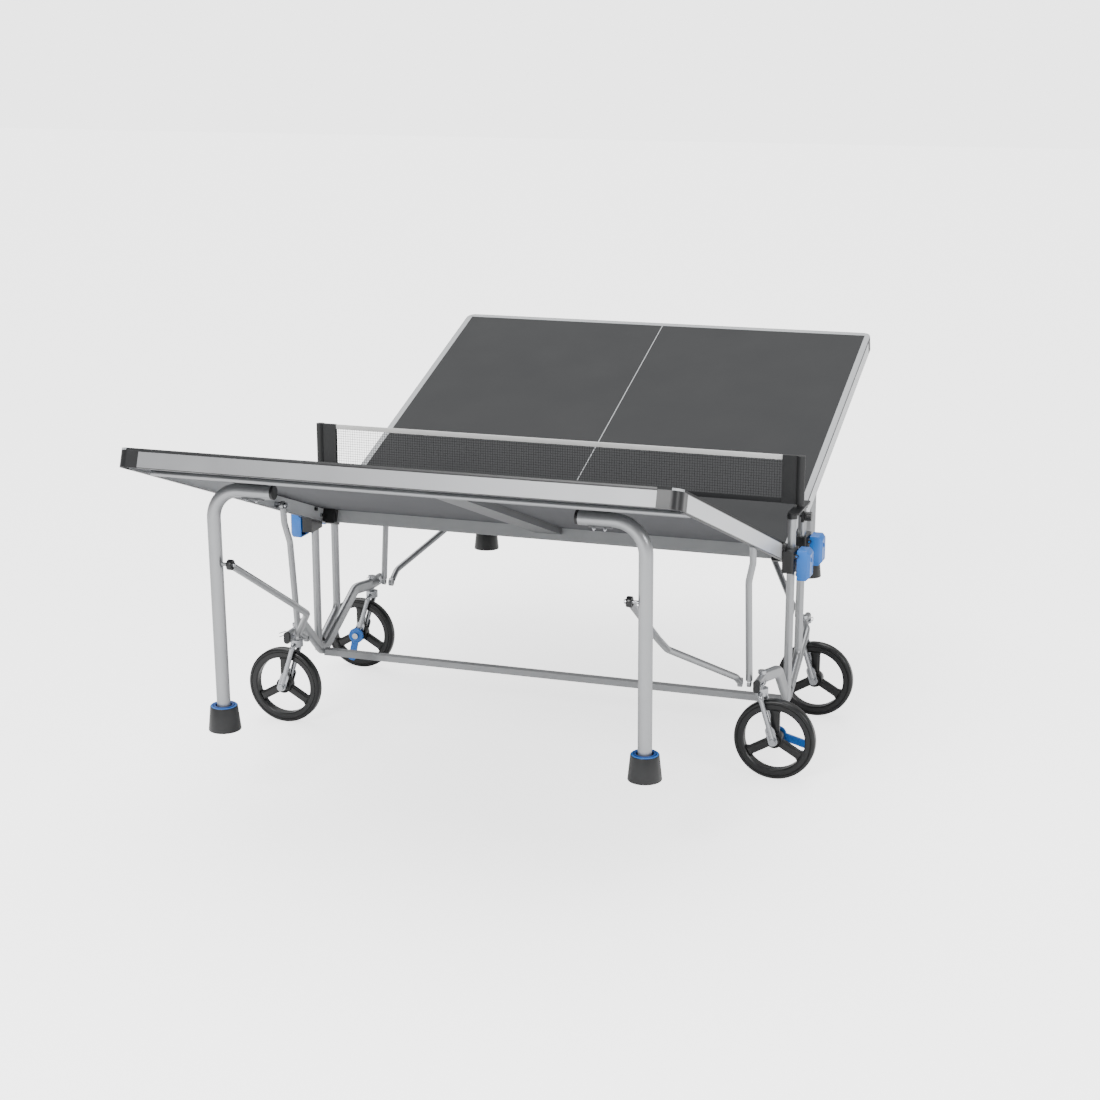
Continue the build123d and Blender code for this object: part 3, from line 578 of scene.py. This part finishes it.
@dataclass
class Legs:
    """The legs, their feet and the links that fold them."""

    end: End
    ring_sides: int = 64
    foot_height: float = 70 * MM
    foot_top: float = 38.5 * MM
    foot_sole: float = 46 * MM
    tube: float = 19 * MM
    strut_x: float = HALF_WIDTH - 194.5 * MM
    cap_radius: float = 14.8 * MM
    cap_width: float = 13.5 * MM
    nut_radius: float = 6.5 * MM
    nut_depth: float = 5 * MM
    nut_inset: float = 11 * MM
    ring_widths: tuple[float, float] = (5 * MM, 6 * MM)
    ring_depths: tuple[float, float] = (5 * MM, 6 * MM)
    ring_insets: tuple[float, float] = (2 * MM, 9 * MM)

    def dress_frame(self) -> None:
        """Put finishes on the tubes and plugs."""
        name = self.end.value
        dress([f"{name}_legs", f"{name}_support_arms", f"{name}_struts"], SILVER.material())
        dress([f"{name}_leg_plugs"], BLACK.material())

    def foot_place(self, side: str) -> Matrix:
        """Return where a foot's sole is centred and how it leans with its leg."""
        low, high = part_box(f"{self.end.value}_{side}_foot")
        axis = Vector(JOINTS[f"{self.end.value}_{side}_foot_screw"]["axis"])
        middle = Vector(((low.x + high.x) / 2, (low.y + high.y) / 2, (low.z + high.z) / 2))
        return Matrix.Translation(middle) @ Vector((0, 0, 1)).rotation_difference(axis).to_matrix().to_4x4()

    def model_boot(self) -> bpy.types.Object:
        """Return the tapered boot about its middle, with its mouth and a stepped sole."""
        bpy.ops.object.select_all(action="DESELECT")
        bpy.ops.mesh.primitive_cone_add(vertices=self.ring_sides, radius1=self.foot_sole,
                                        radius2=self.foot_top, depth=self.foot_height)
        boot = bpy.context.active_object
        with editing(boot):
            pick_faces(boot, lambda middle, normal: normal.z > 0.9)
            step_in(2.5 * MM)
            step_in(1.5 * MM, -3 * MM)
            step_in(self.foot_top - 4 * MM - self.tube - 1 * MM)
            step_in(0.6 * MM, -8 * MM)
            bpy.ops.mesh.select_all(action="DESELECT")
            pick_faces(boot, lambda middle, normal: normal.z < -0.9)
            step_in(5 * MM)
            step_in(2 * MM, -1.5 * MM)
        soften(boot, 2 * MM, 3)
        return boot

    def model_ring(self, outer: float, inner: float, depth: float) -> bpy.types.Object:
        """Return a flat collar about the origin.

        Args:
            outer: Its outer radius.
            inner: The radius of its hole.
            depth: Its height.

        Returns:
            The new object.
        """
        ring = lathe_blank("collar", outer, depth, self.ring_sides)
        with editing(ring):
            pick_faces(ring, lambda middle, normal: abs(normal.z) > 0.9)
            step_in(outer - inner)
            bpy.ops.mesh.bridge_edge_loops()
        soften(ring, 0.8 * MM)
        return ring

    def build_strut_caps(self) -> int:
        """Model the moulded shrouds and lock nuts on the struts' upper ends, and return how many."""
        name = self.end.value
        shroud = lathe_blank("shroud", self.cap_radius, self.cap_width, 40)
        with editing(shroud):
            pick_faces(shroud, lambda middle, normal: abs(normal.z) > 0.9)
            step_in(3 * MM, 0.8 * MM)
            step_in(2 * MM, -1.2 * MM)
        soften(shroud, 1 * MM)
        nut = lathe_blank("lock_nut", self.nut_radius, self.nut_depth, NUT_SIDES)
        with editing(nut):
            pick_faces(nut, lambda middle, normal: abs(normal.z) > 0.9)
            step_in(2 * MM, 1.2 * MM)
        soften(nut, 0.5 * MM)
        pivot = Vector(JOINTS[f"{name}_strut_fold"]["pos_m"])
        lengthwise = Matrix.Rotation(math.pi / 2, 4, "Y")
        for side, sign in SIDES.items():
            spot = Matrix.Translation((sign * self.strut_x, pivot.y, pivot.z)) @ lengthwise
            mount(placed(shroud, f"{name}_{side}_strut_shroud", spot), f"{name}_struts",
                  BLACK.material())
            spot = Matrix.Translation((sign * (self.strut_x - self.nut_inset), pivot.y, pivot.z)) @ lengthwise
            mount(placed(nut, f"{name}_{side}_strut_nut", spot), f"{name}_legs",
                  ZINC.material())
        discard(shroud, nut)
        return 4

    def build(self) -> int:
        """Dress the legs, model their feet, and return how many new pieces they have."""
        self.dress_frame()
        boot = self.model_boot()
        collar, inner = [self.model_ring(self.foot_top - inset, self.foot_top - inset - width, depth)
                         for inset, width, depth in zip(self.ring_insets, self.ring_widths, self.ring_depths)]
        for side in SIDES:
            node = f"{self.end.value}_{side}_foot"
            spot = self.foot_place(side)
            made = mount(placed(boot, f"{node}_boot", spot), node, BLACK.material())
            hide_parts(node)
            top = spot @ Matrix.Translation((0, 0, self.foot_height / 2 - 1 * MM))
            mount(placed(collar, f"{node}_collar", top), node, BLUE.material())
            mount(placed(inner, f"{node}_height_ring", top), node, DEEP_BLUE.material())
        discard(boot, collar, inner)
        return 6 + self.build_strut_caps()


@dataclass
class Sliders:
    """The blocks that ride on the posts, and their latch handles."""

    end: End
    corner: float = 11 * MM

    def model_handle(self) -> bpy.types.Object:
        """Return the near right paddle: chamfered, hollow behind, with a boss on its face."""
        low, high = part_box("near_right_handle")
        inner = low.x + 6 * MM
        size = (high.x - inner, high.y - low.y - 14 * MM, high.z - low.z)
        centre = Vector(((high.x + inner) / 2, (high.y + low.y) / 2, (high.z + low.z) / 2))
        paddle = block("paddle", size, centre)
        with editing(paddle, "EDGE"):
            pick_edges(paddle, lambda middle, run: abs(run.y) > 0.9 and middle.x > centre.x)
            bpy.ops.mesh.bevel(offset=self.corner, segments=1)
            bpy.ops.mesh.select_all(action="DESELECT")
            pick_edges(paddle, lambda middle, run: abs(run.z) > 0.9 and middle.x > centre.x)
            bpy.ops.mesh.bevel(offset=7 * MM, segments=1)
        with editing(paddle):
            pick_faces(paddle, lambda middle, normal: normal.x > 0.95)
            step_in(4 * MM)
            step_in(1.2 * MM, -1.5 * MM)
            bpy.ops.mesh.select_all(action="DESELECT")
            pick_faces(paddle, lambda middle, normal: normal.x < -0.95)
            step_in(4.5 * MM)
            step_in(0.5 * MM, -22 * MM)
        soften(paddle, 1.2 * MM, 2, 30)
        boss = lathe_blank("boss", 7 * MM, 6 * MM, 32)
        with editing(boss):
            pick_faces(boss, lambda middle, normal: normal.z > 0.9)
            step_in(2.2 * MM)
            step_in(0.4 * MM, -1.2 * MM)
        soften(boss, 0.8 * MM)
        spot = Matrix.Translation((high.x - 2 * MM, centre.y, centre.z + 14 * MM))
        boss.data.transform(spot @ Matrix.Rotation(math.pi / 2, 4, "Y"))
        barrel = lathe_blank("barrel", 5.5 * MM, high.y - low.y - 1 * MM, 32)
        hinge = Vector(JOINTS["near_right_handle_pull"]["pos_m"])
        soften(barrel, 0.8 * MM)
        spot = Matrix.Translation((hinge.x, centre.y, hinge.z))
        barrel.data.transform(spot @ Matrix.Rotation(math.pi / 2, 4, "X"))
        return joined("paddle", [paddle, boss, barrel])

    def build(self) -> int:
        """Dress the blocks, model their handles, and return how many new pieces they have."""
        dress([f"{self.end.value}_slider_blocks"], BLACK.material())
        paddle = self.model_handle()
        mirrorings = {"right": Matrix.Identity(4), "left": Matrix.Scale(-1, 4, (1, 0, 0))}
        for near_side, mirrored in mirrorings.items():
            node = f"{self.end.value}_{self.end.side(near_side)}_handle"
            made = placed(paddle, f"{node}_paddle", self.end.turn() @ mirrored)
            mount(made, node, BLUE.material())
            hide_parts(node)
        discard(paddle)
        return 2


# ---- the chassis -----------------------------------------------------------
@dataclass
class Chassis:
    """The rails, posts and cross bar, with their plugs, pins and brackets."""

    pin_radius: float = 1.2 * MM
    pin_loop: float = 6 * MM
    pin_length: float = 22 * MM

    def dress_frame(self) -> None:
        """Put finishes on the nodes that keep their CAD shape."""
        dress(["side_rails", "guide_posts", "cross_bar"], SILVER.material())
        dress(["rail_end_plugs", "net_brackets"], BLACK.material())
        dress([f"{side}_tension_knob" for side in SIDES], BLACK.material())
        dress(["chassis_bolts"], ZINC.material())
        dress(["net_sleeves"], CANVAS.material())

    def build_split_pins(self) -> list[bpy.types.Object]:
        """Return the spring pins through the four link bolts."""
        low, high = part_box("chassis_bolts")
        bpy.ops.object.select_all(action="DESELECT")
        bpy.ops.mesh.primitive_torus_add(major_radius=self.pin_loop, minor_radius=self.pin_radius,
                                         major_segments=28, minor_segments=10)
        loop = bpy.context.active_object
        with editing(loop):
            pick_faces(loop, lambda middle, normal: middle.y < -2 * MM)
            bpy.ops.mesh.delete(type="FACE")
        with editing(loop, "EDGE"):
            bpy.ops.mesh.select_non_manifold()
            bpy.ops.mesh.extrude_region_move(TRANSFORM_OT_translate={"value": (0, -self.pin_length, 0)})
            bpy.ops.mesh.select_all(action="DESELECT")
            bpy.ops.mesh.select_non_manifold()
            bpy.ops.mesh.fill()
            bpy.ops.mesh.select_all(action="SELECT")
            bpy.ops.mesh.normals_make_consistent(inside=False)
        soften(loop, 0.0)
        pins = []
        for x_name, x_sign in SIDES.items():
            for end in End:
                y = low.y + 8 * MM if end is End.NEAR else high.y - 8 * MM
                spot = Vector((x_sign * (high.x + 3 * MM), y, (low.z + high.z) / 2 + 6 * MM))
                turn = Matrix.Rotation(math.radians(90), 4, "Y") @ Matrix.Rotation(math.radians(20), 4, "X")
                name = f"{end.value}_{x_name}_split_pin"
                pin = placed(loop, name, Matrix.Translation(spot) @ turn)
                pins.append(mount(pin, "chassis", ZINC.material()))
        discard(loop)
        return pins

    def build(self) -> int:
        """Dress and detail the chassis, and return how many new pieces it has."""
        self.dress_frame()
        return len(self.build_split_pins())


class Brake(Enum):
    """Which way a caster's brake lever stands."""

    NONE = 0
    OFF = 15
    ON = 78


@dataclass
class Caster:
    """One corner's wheel, fork and axle, and its brake if it has one."""

    end: End
    side: str
    brake: Brake = Brake.NONE
    radius: float = 122 * MM
    width: float = 32 * MM
    rim: float = 92 * MM
    hub: float = 25 * MM
    spoke: float = 27 * MM
    cam: float = 26 * MM
    lever: tuple[float, float] = (70 * MM, 24 * MM)
    lever_middle: float = 56 * MM
    ribs: int = 7
    rib_spacing: float = 8.5 * MM

    @property
    def corner(self) -> str:
        """The start of the names of this corner's nodes."""
        return f"{self.end.value}_{self.side}"

    def model_tyre(self) -> bpy.types.Object:
        """Return the tyre about the origin, its axis along Z, with a moulded groove each side."""
        tyre = lathe_blank("tyre", self.radius, self.width, 112)
        with editing(tyre, "EDGE"):
            pick_edges(tyre, lambda middle, run: abs(run.z) < 0.1)
            bpy.ops.mesh.bevel(offset=8 * MM, segments=5)
        with editing(tyre):
            pick_faces(tyre, lambda middle, normal: abs(normal.z) > 0.99)
            step_in(2 * MM)
            step_in(1.2 * MM, -1.8 * MM)
            step_in(1.2 * MM)
            step_in(1.2 * MM, 1.8 * MM)
            step_in(self.radius - 8 * MM - 5.6 * MM - self.rim - 4 * MM)
            step_in(3 * MM, -2.5 * MM)
            step_in(1 * MM)
            bpy.ops.mesh.bridge_edge_loops()
        soften(tyre, 0.0)
        return tyre

    def model_spoke(self) -> bpy.types.Object:
        """Return the spoke that stands along +Y, waisted, with a raised rib on each face."""
        inner = self.hub - 7 * MM
        outer = self.rim + 2 * MM
        spoke = block("spoke", (self.spoke, outer - inner, 12 * MM), (0, (inner + outer) / 2, 0))
        with editing(spoke):
            bpy.ops.mesh.select_all(action="SELECT")
            bpy.ops.mesh.bisect(plane_co=(0, self.rim - 12 * MM, 0), plane_no=(0, 1, 0))
            bpy.ops.mesh.select_all(action="SELECT")
            bpy.ops.mesh.bisect(plane_co=(0, self.hub + 10 * MM, 0), plane_no=(0, 1, 0))
        with editing(spoke, "VERT"):
            mesh = bmesh.from_edit_mesh(spoke.data)
            for point in mesh.verts:
                point.select_set(point.co.y > outer - 1 * MM)
            mesh.select_flush_mode()
            bpy.ops.transform.resize(value=(1.5, 1, 1))
        with editing(spoke):
            pick_faces(spoke, lambda middle, normal: abs(normal.z) > 0.9)
            bpy.ops.mesh.inset(thickness=4.5 * MM, depth=0, use_boundary=True)
            bpy.ops.mesh.extrude_region_shrink_fatten(TRANSFORM_OT_shrink_fatten={"value": 5 * MM})
        soften(spoke, 1.2 * MM, 2, 30)
        return spoke

    def model_hub(self) -> bpy.types.Object:
        """Return the hub with its bearing seats."""
        hub = lathe_blank("hub", self.hub, 34 * MM, 64)
        with editing(hub):
            pick_faces(hub, lambda middle, normal: abs(normal.z) > 0.9)
            step_in(4 * MM)
            step_in(1.5 * MM, -3 * MM)
            step_in(6 * MM)
            step_in(0.5 * MM, 3 * MM)
        soften(hub, 1.2 * MM)
        return hub

    def build_wheel(self) -> None:
        """Model the wheel and stand it in its fork."""
        spokes = [self.model_spoke()]
        for number in (1, 2):
            spokes.append(placed(spokes[0], "spoke", Matrix.Rotation(math.radians(120 * number), 4, "Z")))
        wheel = joined(f"{self.corner}_wheel_moulding", [self.model_tyre(), self.model_hub(), *spokes])
        low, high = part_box(f"{self.corner}_wheel")
        upright = Matrix.Rotation(math.pi / 2, 4, "X")
        wheel.data.transform(Matrix.Translation((low + high) / 2) @ upright)
        mount(wheel, f"{self.corner}_wheel", RUBBER.material())
        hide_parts(f"{self.corner}_wheel")

    def build_brake(self) -> None:
        """Model the brake's cam ring and its ribbed foot lever."""
        node = f"{self.corner}_brake"
        low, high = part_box(node)
        pivot = Vector(JOINTS[f"{node}_press"]["pos_m"])
        y = (low.y + high.y) / 2
        ring = lathe_blank("cam", self.cam, high.y - low.y, 56)
        with editing(ring):
            pick_faces(ring, lambda middle, normal: abs(normal.z) > 0.9)
            step_in(5 * MM)
            step_in(1 * MM, -2 * MM)
            step_in(7 * MM)
            step_in(1 * MM, 1.5 * MM)
        soften(ring, 1 * MM)
        lever = block("lever", (*self.lever, high.y - low.y), (self.lever_middle, 0, 0))
        with editing(lever, "EDGE"):
            pick_edges(lever, lambda middle, run: abs(run.z) > 0.9 and middle.x > 50 * MM)
            bpy.ops.mesh.bevel(offset=7 * MM, segments=4)
        with editing(lever):
            pick_faces(lever, lambda middle, normal: abs(normal.z) > 0.9)
            step_in(2 * MM)
            step_in(0.6 * MM, -1.8 * MM)
        soften(lever, 0.8 * MM)
        rib = block("rib", (2.5 * MM, 18 * MM, high.y - low.y - 0.6 * MM), (32 * MM, 0, 0))
        repeat = rib.modifiers.new("ribs", "ARRAY")
        repeat.count = self.ribs
        repeat.use_relative_offset = False
        repeat.use_constant_offset = True
        repeat.constant_offset_displace = (self.rib_spacing, 0, 0)
        select_only(rib)
        bpy.ops.object.modifier_apply(modifier=repeat.name)
        whole = joined(f"{node}_pedal", [ring, lever, rib])
        sign = SIDES[self.side]
        angle = math.radians(self.brake.value)
        stand = Matrix.Rotation(math.pi / 2, 4, "X") @ Matrix.Rotation(-angle, 4, "Z")
        mirrored = Matrix.Scale(sign, 4, (1, 0, 0))
        whole.data.transform(Matrix.Translation((pivot.x, y, pivot.z)) @ mirrored @ stand)
        if sign < 0:
            whole.data.flip_normals()
        mount(whole, node, BLUE.material())
        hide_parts(node)

    def build(self) -> int:
        """Model and dress the caster, and return how many new pieces it has."""
        dress([f"{self.corner}_fork", f"{self.corner}_axle"], ZINC.material())
        self.build_wheel()
        if self.brake is Brake.NONE:
            return 1
        self.build_brake()
        return 2


@dataclass
class Net:
    """The net with its tapes, stretched between the sleeves."""

    cell: float = 8 * MM
    thread: float = 1.2 * MM
    tape: float = 16 * MM
    tape_thickness: float = 4 * MM

    def model_tape(self, name: str, low: float, high: float) -> bpy.types.Object:
        """Return a folded tape along the net.

        Args:
            name: The piece's name.
            low: The height of its lower edge.
            high: The height of its upper edge.

        Returns:
            The new object.
        """
        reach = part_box("net")[1].x
        tape = block(name, (2 * reach, self.tape_thickness, high - low), (0, 0, (low + high) / 2))
        with editing(tape, "EDGE"):
            pick_edges(tape, lambda middle, run: abs(run.x) > 0.9)
            bpy.ops.mesh.bevel(offset=1.7 * MM, segments=3)
        soften(tape, 0.0)
        return tape

    def build(self) -> int:
        """Model the mesh and its tapes, and return how many new pieces there are."""
        low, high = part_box("net")
        width = high.x - low.x
        floor = low.z + self.tape - 2 * MM
        height = high.z - self.tape + 2 * MM - floor
        across, up = round(width / self.cell), round(height / self.cell)
        bpy.ops.object.select_all(action="DESELECT")
        bpy.ops.mesh.primitive_grid_add(x_subdivisions=across, y_subdivisions=up, size=1)
        mesh = bpy.context.active_object
        mesh.name = "net_mesh"
        spot = Matrix.Translation((0, 0, floor + height / 2)) @ Matrix.Rotation(math.pi / 2, 4, "X")
        mesh.data.transform(spot @ Matrix.Diagonal((width, height, 1, 1)))
        wires = mesh.modifiers.new("threads", "WIREFRAME")
        wires.thickness = self.thread
        select_only(mesh)
        bpy.ops.object.modifier_apply(modifier=wires.name)
        mount(mesh, "chassis", THREAD.material())
        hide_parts("net")
        top = self.model_tape("net_top_tape", high.z - self.tape, high.z)
        mount(top, "chassis", WHITE_TAPE.material())
        bottom = self.model_tape("net_bottom_tape", low.z, low.z + self.tape)
        mount(bottom, "chassis", DARK_TAPE.material())
        # The net is cut as a rectangle, width by height.
        return 3


@dataclass
class Studio:
    """A pale floor, soft light and the camera."""

    position: Vector = field(default_factory=lambda: Vector((1.9724, -5.8779, 2.1844)))
    yaw: float = math.radians(-18.597)
    pitch: float = math.radians(-14.717)
    lens: float = 66.668
    sensor: float = 36.0
    floor_glow: float = 2.0
    room: float = 0.5
    backdrop: float = 3.3
    ceiling: float = 3.6
    ceiling_spread: float = math.radians(70)
    floor_size: float = 60

    def build_floor(self) -> None:
        """Lay the pale floor."""
        bpy.ops.object.select_all(action="DESELECT")
        bpy.ops.mesh.primitive_plane_add(size=self.floor_size)
        floor = bpy.context.active_object
        floor.name = "studio_floor"
        paint = Finish("painted_studio_floor", "#FBFBFB", "#F9F9F9", roughness=0.9, grain=4.0, relief=0.02,
                       drift=900).material()
        tree = paint.node_tree
        shader = tree.nodes["Principled BSDF"]
        seen = add_node(tree, "ShaderNodeLightPath", {}).outputs["Is Camera Ray"]
        glow = add_node(tree, "ShaderNodeMapRange", {"Value": seen, "To Min": 0.0, "To Max": self.floor_glow})
        tree.links.new(glow.outputs["Result"], shader.inputs["Emission Strength"])
        shader.inputs["Emission Color"].default_value = (1, 1, 1, 1)
        floor.data.materials.append(paint)

    def add_light(self, name: str, place: Vector, size: float, power: float) -> None:
        """Hang one square softbox that faces the table.

        Args:
            name: Its name.
            place: Where it hangs.
            size: The length of its side.
            power: Its power in watts.
        """
        light = bpy.data.lights.new(name, "AREA")
        light.size = size
        light.energy = power
        lamp = bpy.data.objects.new(name, light)
        lamp.location = place
        lamp.rotation_euler = (Vector((0, 0, 0.7)) - place).to_track_quat("-Z", "Y").to_euler()
        bpy.context.scene.collection.objects.link(lamp)

    def add_sky_panel(self, name: str, strength: float) -> None:
        """Hang a wide, even panel overhead, which lights the floor alike all over.

        Args:
            name: Its name.
            strength: Its strength in watts for each square metre.
        """
        light = bpy.data.lights.new(name, "SUN")
        light.energy = strength
        light.angle = self.ceiling_spread
        lamp = bpy.data.objects.new(name, light)
        lamp.rotation_euler = Euler((math.radians(-14), math.radians(-12), 0))
        bpy.context.scene.collection.objects.link(lamp)

    def build_world(self) -> None:
        """Make the room pale behind the table and dimmer around it, so that round tubes keep dark edges."""
        world = bpy.data.worlds.new("studio")
        world.use_nodes = True
        tree = world.node_tree
        seen = add_node(tree, "ShaderNodeLightPath", {}).outputs["Is Camera Ray"]
        strength = add_node(tree, "ShaderNodeMapRange", {"Value": seen, "To Min": self.room,
                                                        "To Max": self.backdrop})
        tree.links.new(strength.outputs["Result"], tree.nodes["Background"].inputs["Strength"])
        tree.nodes["Background"].inputs["Color"].default_value = (1, 1, 1, 1)
        bpy.context.scene.world = world

    def build(self) -> None:
        """Set up the floor, the light and the camera."""
        self.build_floor()
        self.add_light("key_softbox", Vector((-0.6, -6.6, 4.6)), size=2.4, power=430)
        self.add_light("fill_softbox", Vector((5.5, -3.0, 3.2)), size=2.0, power=130)
        self.add_sky_panel("ceiling_panel", self.ceiling)
        self.build_world()
        camera = bpy.data.cameras.new("camera")
        camera.lens = self.lens
        camera.sensor_width = self.sensor
        camera.clip_end = 100
        seen = Vector((math.sin(self.yaw) * math.cos(self.pitch), math.cos(self.yaw) * math.cos(self.pitch),
                       math.sin(self.pitch)))
        body = bpy.data.objects.new("camera", camera)
        body.location = self.position
        body.rotation_euler = seen.to_track_quat("-Z", "Y").to_euler()
        bpy.context.scene.collection.objects.link(body)
        bpy.context.scene.camera = body


def main() -> None:
    """Build the studio and each sub-assembly in order."""
    logging.basicConfig(level=logging.INFO)
    Studio().build()
    assemblies: list[object] = [Chassis(), Net()]
    for end in End:
        assemblies += [TableHalf(end), Legs(end), Sliders(end)]
    brakes = {(End.NEAR, "right"): Brake.OFF, (End.FAR, "left"): Brake.ON}
    for end in End:
        for side in SIDES:
            assemblies.append(Caster(end, side, brakes.get((end, side), Brake.NONE)))
    for assembly in assemblies:
        LOG.info("%s: %d new pieces", type(assembly).__name__, assembly.build())


if __name__ == "__main__":
    main()
